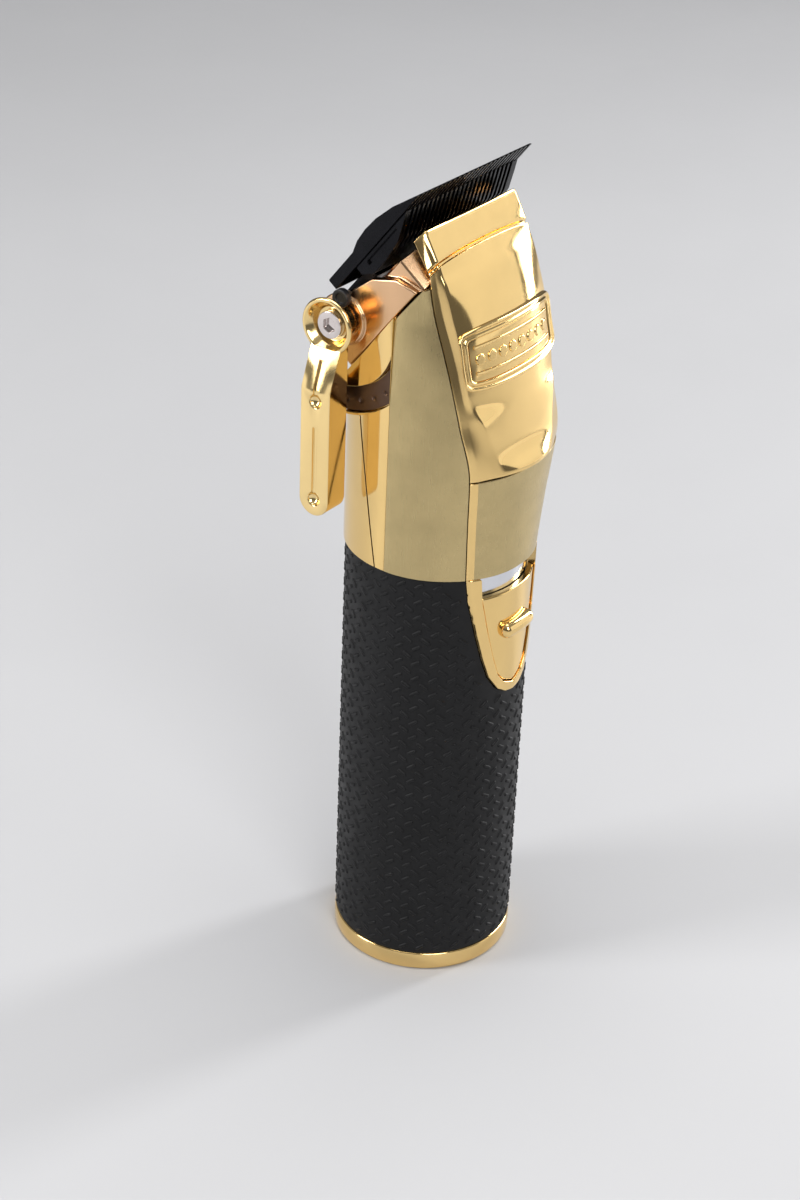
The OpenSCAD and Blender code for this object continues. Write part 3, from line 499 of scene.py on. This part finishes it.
def low_grid(d):
    q = inward(low_cols(zl), d)
    P = np.zeros((len(zl), q.shape[0], 3))
    P[:, :, :2] = q.transpose(1, 0, 2)
    P[:, :, 2] = zl[:, None]
    return P


low = piece("front_panel_shell", *shell(low_grid(0), low_grid(1.25)), "gold_satin", "housing", ("front_panel",), width=0.14, angle=50)
low.data.materials.append(M["gold_polished"])
for p_ in low.data.polygons:
    c_ = p_.center / MM
    if abs(c_.x) > float(b2x(c_.z)) - 0.12:
        p_.material_index = 1

# collar under the blade
NB = np.array([[0, 0.6], [0.06, 0.6], [0.075, 0.55], [0.09, 0.32], [0.105, 0.12], [0.13, 0.03], [0.16, 0], [0.35, 0], [0.6, 0], [0.85, 0.02],
               [0.92, 0.08], [0.96, 0.18], [0.985, 0.33], [1, 0.6]])
srow = np.unique(np.concatenate([np.linspace(0, 1, 46), NB[:, 0]]))


def band_grid(thick):
    P = np.zeros((len(srow), NCOV, 3))
    for k in range(NCOV):
        z0 = COV_TOP[k]
        xy = cover_cols(np.array([z0]))[k, 0]
        ins = np.interp(srow, NB[:, 0], NB[:, 1])
        d = ins + (thick - ins if thick else 0)
        n0 = top_n(xy[0]) + 0.2
        n = n0 + (105.5 - n0) * srow
        t = (-xy[1] * ST + z0 * CT) * (1 - srow) + lip_t(xy[0]) * srow
        m = np.stack([np.full_like(t, xy[0]), t - 118], -1)
        r = np.linalg.norm(m, axis=-1, keepdims=True)
        q = m * (r - d[:, None]) / r
        P[:, k, 0] = q[:, 0]
        P[:, k, 1] = n * CT - (q[:, 1] + 118) * ST
        P[:, k, 2] = n * ST + (q[:, 1] + 118) * CT
    return P


piece("nose_collar", *shell(band_grid(0), band_grid(2.0)), "gold_polished", "housing", ("nose_band",), width=0.1, angle=60)


# Badge: double rim, plate and a row of plain geometric relief -------------------------
def badge_point(x, w, up):
    u = np.minimum(1, np.abs(x) / 16)
    z = (1 - w) * (144 + 1.2 * u**4) + w * (157.3 - 1.4 * u**4)
    c = cx(z)
    a = np.minimum(np.abs(x), c)
    y = dy(z) + (cy(z) - dy(z)) * (a / c) ** pw(z)
    q = np.stack([x, y], -1)
    r = np.linalg.norm(q, axis=-1, keepdims=True)
    q = q * (r + np.asarray(up)[..., None]) / r
    return np.concatenate([q, z[..., None]], -1)


def rounded_rect(hw, wl, wh, r, per=14, side=26):
    rw = r / 13
    pts = []
    for t in np.linspace(0, 1, side, endpoint=False):
        pts.append((-(hw - r) + 2 * (hw - r) * t, wl))
    for a in np.linspace(0, 90, per, endpoint=False):
        pts.append((hw - r + r * math.sin(math.radians(a)), wl + rw - rw * math.cos(math.radians(a))))
    for t in np.linspace(0, 1, side // 2, endpoint=False):
        pts.append((hw, wl + rw + (wh - wl - 2 * rw) * t))
    for a in np.linspace(0, 90, per, endpoint=False):
        pts.append((hw - r + r * math.cos(math.radians(a)), wh - rw + rw * math.sin(math.radians(a))))
    for t in np.linspace(0, 1, side, endpoint=False):
        pts.append((hw - r - 2 * (hw - r) * t, wh))
    for a in np.linspace(0, 90, per, endpoint=False):
        pts.append((-(hw - r) - r * math.sin(math.radians(a)), wh - rw + rw * math.cos(math.radians(a))))
    for t in np.linspace(0, 1, side // 2, endpoint=False):
        pts.append((-hw, wh - rw - (wh - wl - 2 * rw) * t))
    for a in np.linspace(0, 90, per, endpoint=False):
        pts.append((-(hw - r) - r * math.cos(math.radians(a)), wl + rw - rw * math.sin(math.radians(a))))
    return np.array(pts)


rim = [[0, 0.02], [0.03, 0.38], [0.12, 0.62], [0.3, 0.78], [0.5, 0.8], [0.68, 0.72], [0.8, 0.55], [0.92, 0.42], [1.08, 0.38], [1.2, 0.44],
       [1.32, 0.58], [1.48, 0.68], [1.68, 0.68], [1.86, 0.6], [1.98, 0.42], [2.05, 0.03]]
rows_ = []
for i_, h_ in rim:
    c_ = rounded_rect(15.9 - i_, i_ / 13, 1 - i_ / 13, 1.7 - i_ * 0.4)
    rows_.append(badge_point(c_[:, 0], c_[:, 1], np.full(len(c_), h_)))
rows_ = np.array(rows_)
nr_, nc_ = rows_.shape[:2]
ff_ = [(i * nc_ + j, ((i + 1) % nr_) * nc_ + j, ((i + 1) % nr_) * nc_ + (j + 1) % nc_, i * nc_ + (j + 1) % nc_) for i in range(nr_) for j in range(nc_)]
piece("badge_rim", rows_.reshape(-1, 3), ff_, "gold_polished", "housing", ("badge_frame",), sharp=60, weighted=False)

X_, W_ = np.meshgrid(np.linspace(-13.75, 13.75, 70), np.linspace(0.16, 0.84, 24))
piece("badge_face", *shell(badge_point(X_, W_, np.full(X_.shape, 0.3)), badge_point(X_, W_, np.full(X_.shape, 0.03))), "gold_polished", "housing", ("badge_plate",), width=0.05, angle=60)


RELIEF = 1.6


def relief(outlines, base, top):
    verts, faces = [], []
    for out in outlines:
        out = np.array(out, float)
        # points along each side, so that the raised shape follows the curved plate
        dense = []
        for a, b in zip(out, np.roll(out, -1, axis=0)):
            for t in np.linspace(0, 1, 2 + int(np.abs(b - a)[0] * 2), endpoint=False):
                dense.append(a + (b - a) * t)
        dense = np.array(dense)
        c = dense.mean(0)
        rings = []
        for inset, up in ((0.0, base), (0.02, base + (top - base) * 0.6), (0.10, base + (top - base) * 0.93), (0.24, top)):
            v = dense - c
            size = np.array([v[:, 0].max(), v[:, 1].max() * 13])
            k = np.maximum(0.25, 1 - inset * RELIEF / size)
            q = c + v * k
            rings.append(badge_point(q[:, 0], q[:, 1], np.full(len(q), up)))
        o, n = len(verts), len(dense)
        for r in rings:
            verts.extend(r)
        for i in range(len(rings) - 1):
            for j in range(n):
                faces.append((o + i * n + j, o + i * n + (j + 1) % n, o + (i + 1) * n + (j + 1) % n, o + (i + 1) * n + j))
        faces.append(tuple(o + (len(rings) - 1) * n + j for j in range(n)))
        faces.append(tuple(reversed([o + j for j in range(n)])))
    return verts, faces


marks = []
for i in range(8):
    x = -11.2 + 3.2 * i
    marks.append([(x + 1.2 * math.cos(math.radians(a)), 0.5 + 1.2 / 13 * math.sin(math.radians(a))) for a in range(0, 360, 30)])
for w in (0.29, 0.71):
    marks.append([(-12.6, w - 0.028), (12.6, w - 0.028), (12.6, w + 0.028), (-12.6, w + 0.028)])
piece("badge_relief", *relief(marks, 0.26, 0.62), "gold_polished", "housing", (), sharp=45)


# Grip with its raised oblique ticks -----------------------------------------------------
TONGUE = [[101.5, 12.7], [96, 12.2], [87.3, 10.45], [81.5, 9.0], [76.6, 7.4], [73, 5.0], [71.4, 2.5], [70.9, 0]]


def tongue_half(z):
    zz = np.array([p[0] for p in TONGUE[::-1]])
    ww = np.array([p[1] for p in TONGUE[::-1]])
    return -1 if z < zz[0] else float(np.interp(z, zz, ww))


def near_tongue(x, y, z, gap):
    if y > 0:
        return False
    return any(tongue_half(z + dz) > 0 and abs(x) < tongue_half(z + dz) + gap for dz in (-gap, 0, gap)) or (abs(x) < gap and 70.9 - gap < z < 72)


COLS, ROWH = 32, 3.73
rings_ = [(1.22, 0.46, -0.08), (1.16, 0.40, 0.06), (1.02, 0.28, 0.20), (0.86, 0.15, 0.27)]
NT = 14
unit = []
for hl, hw, h in rings_:
    r = []
    for a in np.linspace(0, 2 * math.pi, NT, endpoint=False):
        ca, sa = math.cos(a), math.sin(a)
        r.append(((hl - hw) * (1 if ca > 1e-6 else -1 if ca < -1e-6 else 0) + hw * ca, hw * sa, h))
    unit.append(r)
unit = np.array(unit)
tv, tf = [], []
z0 = GRIP_LO[2] + 1.5
nrow = int((GRIP_HI[2] - 1.4 - z0) / (ROWH / 2)) + 1
for row in range(nrow):
    zc = z0 + row * ROWH / 2
    lean = 1 if row % 2 == 0 else -1
    for k in range(COLS):
        u = (k + (0.5 if row % 2 else 0.0)) * 2 * math.pi / COLS
        x, y = GRIP_R * math.cos(u), GRIP_R * math.sin(u)
        if near_tongue(x, y, zc, 1.5):
            continue
        a = math.radians(34) * lean
        q = unit.copy().reshape(-1, 3)
        s = q[:, 0] * math.cos(a) - q[:, 1] * math.sin(a)
        zz = q[:, 0] * math.sin(a) + q[:, 1] * math.cos(a)
        ang = u + s / GRIP_R
        rr = GRIP_R + q[:, 2]
        o = len(tv)
        tv.extend(np.stack([rr * np.cos(ang), rr * np.sin(ang), zc + zz], -1))
        for i in range(len(rings_) - 1):
            for j in range(NT):
                tf.append((o + i * NT + j, o + i * NT + (j + 1) % NT, o + (i + 1) * NT + (j + 1) % NT, o + (i + 1) * NT + j))
        tf.append(tuple(o + (len(rings_) - 1) * NT + j for j in range(NT)))
        tf.append(tuple(reversed([o + j for j in range(NT)])))
piece("grip_ticks", tv, tf, "grip_black", "housing", (), sharp=80, weighted=False)
refine("grip_sleeve", 0.15)

# Switch slider: plate with soft edges, thumb ridge and the stem through the sleeve
S_LO, S_HI = mmbox("switch_slider")
SLIDER_TOP = S_HI[2]
inset_ = 2.5
edge_ = []
for z, w in TONGUE:
    k = max(0, (76.5 - z) / 6)
    edge_.append((z + inset_ * k, max(0, w - inset_ * (1 - 0.45 * k))))
edge_.sort()


def plate_half(z):
    return np.interp(z, [e[0] for e in edge_], [e[1] for e in edge_])


def soft(e, r):
    e = np.clip(e, 0, r)
    return r - np.sqrt(np.maximum(0, r * r - (r - e) ** 2))


zb = edge_[0][0] + 0.02
zr = np.concatenate([zb + np.array([0, 0.03, 0.08, 0.16, 0.28, 0.42]), np.linspace(zb + 0.6, SLIDER_TOP - 0.6, 56), SLIDER_TOP - np.array([0.42, 0.28, 0.16, 0.08, 0.03, 0])])
fr = np.sort(np.unique(np.concatenate([np.linspace(-1, 1, 41), [s * (1 - e) for s in (-1, 1) for e in (0.004, 0.012, 0.025)]])))
Rp = GRIP_R + 0.35


def slider_grid(drop):
    P = np.zeros((len(zr), len(fr), 3))
    for i, z in enumerate(zr):
        w = max(0.05, float(plate_half(z)))
        x = fr * w
        e = np.minimum(w - np.abs(x), min(SLIDER_TOP - z, 9))
        r = Rp - soft(e, 0.4) * (drop == 0) - drop
        P[i, :, 0], P[i, :, 1], P[i, :, 2] = x, -np.sqrt(np.maximum(1, r * r - x * x)), z
    return P


piece("slider_plate", *shell(slider_grid(0), slider_grid(1.3)), "gold_polished", "switch", ("switch_slider",), sharp=50)
RZ, RR, RC = 87.2, 1.72, GRIP_R + 0.75
half_a, ends = math.radians(14.6), 12
rv, rf = [], []
us = np.concatenate([-1 + (1 - np.cos(np.linspace(0, math.pi / 2, ends))) * 0.28, np.linspace(-0.68, 0.68, 16), 1 - (1 - np.cos(np.linspace(math.pi / 2, 0, ends))) * 0.28])
for u in us:
    k = math.sqrt(max(0.0004, 1 - (max(0, abs(u) - 0.72) / 0.28) ** 2))
    a = -math.pi / 2 + u * half_a
    for b in np.linspace(0, 2 * math.pi, 28, endpoint=False):
        rad = RC + RR * k * math.cos(b) - 0.5 * (1 - k)
        rv.append((rad * math.cos(a), rad * math.sin(a), RZ + RR * 1.05 * k * math.sin(b)))
for i in range(len(us) - 1):
    for j in range(28):
        rf.append((i * 28 + j, i * 28 + (j + 1) % 28, (i + 1) * 28 + (j + 1) % 28, (i + 1) * 28 + j))
rf += [tuple(range(27, -1, -1)), tuple((len(us) - 1) * 28 + j for j in range(28))]
piece("slider_ridge", rv, rf, "gold_polished", "switch", (), sharp=80, weighted=False)


def block(lo, hi):
    x0, y0, z0 = lo
    x1, y1, z1 = hi
    v = [(x0, y0, z0), (x1, y0, z0), (x1, y1, z0), (x0, y1, z0), (x0, y0, z1), (x1, y0, z1), (x1, y1, z1), (x0, y1, z1)]
    return v, [(0, 3, 2, 1), (4, 5, 6, 7), (0, 1, 5, 4), (1, 2, 6, 5), (2, 3, 7, 6), (3, 0, 4, 7)]


piece("slider_stem", *block((-1.6, -19.4, 81.6), (1.6, -15.7, 86)), "gold_polished", "switch", (), width=0.2, angle=40)

# CAD nodes with finely rounded edges ----------------------------------------------------
hb = refine("head_block", 0.4)
hb.data.materials.clear()
hb.data.materials.append(M["gold_rose"])
for n_, w_ in (("base_cap", 0.12), ("main_housing", 0.12), ("rear_cover", 0.12), ("switch_frame", 0.3),
               ("switch_plate", 0.1), ("taper_lever", 0.16), ("lever_screw", 0.14), ("lever_shaft", 0.12),
               ("detent_plate", 0.07), ("blade_bracket", 0.14), ("fixed_blade", 0.07), ("moving_blade", 0.06), ("blade_screws", 0.1),
               ("heel_pad", 0.15), ("drive_yoke", 0.12), ("base_screws", 0.08), ("charge_socket", 0.15), ("head_screws", 0.08)):
    if n_ in NODES:
        refine(n_, w_)

for n_, o_ in NODES.items():
    if not o_.hide_render:
        o_.data.materials.clear()
        o_.data.materials.append(M[SLOT_OF[n_]])
        for p_ in o_.data.polygons:
            p_.material_index = 0

# Floor, light and camera ------------------------------------------------------------------
me = mesh_from([(-3000, -3000, 0), (3000, -3000, 0), (3000, 3000, 0), (-3000, 3000, 0)], [(0, 1, 2, 3)], "floor")
floor = bpy.data.objects.new("floor", me)
bpy.context.scene.collection.objects.link(floor)
fm, fnt, fb = new_mat("floor_pale")
fb.inputs["Specular IOR Level"].default_value = 0.3
fnt.links.new(ramp(fnt, noise(fnt, (3, 3, 3), 2.0), [(0.3, (0.50, 0.50, 0.51)), (0.7, (0.53, 0.53, 0.54))]), fb.inputs["Base Color"])
fnt.links.new(span(fnt, noise(fnt, (40, 40, 40), 3.0), 0.5, 0.6), fb.inputs["Roughness"])
me.materials.append(fm)

world = bpy.data.worlds.new("studio")
bpy.context.scene.world = world
world.use_nodes = True
wnt = world.node_tree
bg = wnt.nodes["Background"]
tc = node(wnt, "ShaderNodeTexCoord")
sep = node(wnt, "ShaderNodeSeparateXYZ")
wnt.links.new(tc.outputs["Generated"], sep.inputs["Vector"])
wr = ramp(wnt, span(wnt, sep.outputs["Z"], 0, 1, -1, 1), [(0.0, (0.30, 0.30, 0.31)), (0.48, (0.34, 0.34, 0.35)), (0.62, (0.36, 0.36, 0.37)), (0.8, (0.75, 0.75, 0.76)), (1.0, (0.9, 0.9, 0.9))])
wnt.links.new(wr, bg.inputs["Color"])
bg.inputs["Strength"].default_value = 0.42


def area(name, loc, target, size, power, color=(1, 1, 1)):
    d = bpy.data.lights.new(name, "AREA")
    d.shape = "RECTANGLE"
    d.size, d.size_y = size
    d.energy = power
    d.color = color
    o = bpy.data.objects.new(name, d)
    o.location = loc
    o.rotation_mode = "QUATERNION"
    o.rotation_quaternion = (Vector(target) - Vector(loc)).to_track_quat("-Z", "Y")
    bpy.context.scene.collection.objects.link(o)
    return o


mid = (0, 0, 0.12)
area("key", (-0.55, -0.75, 0.75), mid, (0.5, 0.7), 6.5)
area("front_right", (0.75, -0.85, 0.30), mid, (0.8, 0.9), 1.9)
area("strip_right", (0.9, -0.35, 0.45), mid, (0.16, 0.9), 7.0)
area("strip_back", (-0.75, 0.65, 0.55), mid, (0.3, 0.8), 7.0)
area("top", (0.1, 0.1, 1.1), mid, (0.8, 0.8), 6.0)

F, DIST, AZ, EL, ROLL, OX, OZ = 2403.293, 521.166, -55.573, 29.887, 2.336, -7.922, 84.989
a_, e_, r_ = math.radians(AZ), math.radians(EL), math.radians(ROLL)
back = Vector((math.sin(a_) * math.cos(e_), -math.cos(a_) * math.cos(e_), math.sin(e_)))
right = Vector((math.cos(a_), math.sin(a_), 0))
up = back.cross(right)
place = Vector((0, 0, OZ)) + right * OX + back * DIST
R_ = right * math.cos(r_) + up * math.sin(r_)
U_ = -right * math.sin(r_) + up * math.cos(r_)
cam = bpy.data.cameras.new("camera")
cam.sensor_fit = "AUTO"
cam.sensor_width = 36
cam.lens = F / 1200 * 36
cam.clip_start = 0.01
cam.clip_end = 20
co = bpy.data.objects.new("camera", cam)
co.matrix_world = Matrix(((R_.x, U_.x, back.x, place.x * MM), (R_.y, U_.y, back.y, place.y * MM), (R_.z, U_.z, back.z, place.z * MM), (0, 0, 0, 1)))
bpy.context.scene.collection.objects.link(co)
bpy.context.scene.camera = co
bpy.context.scene.view_settings.view_transform = "Standard"
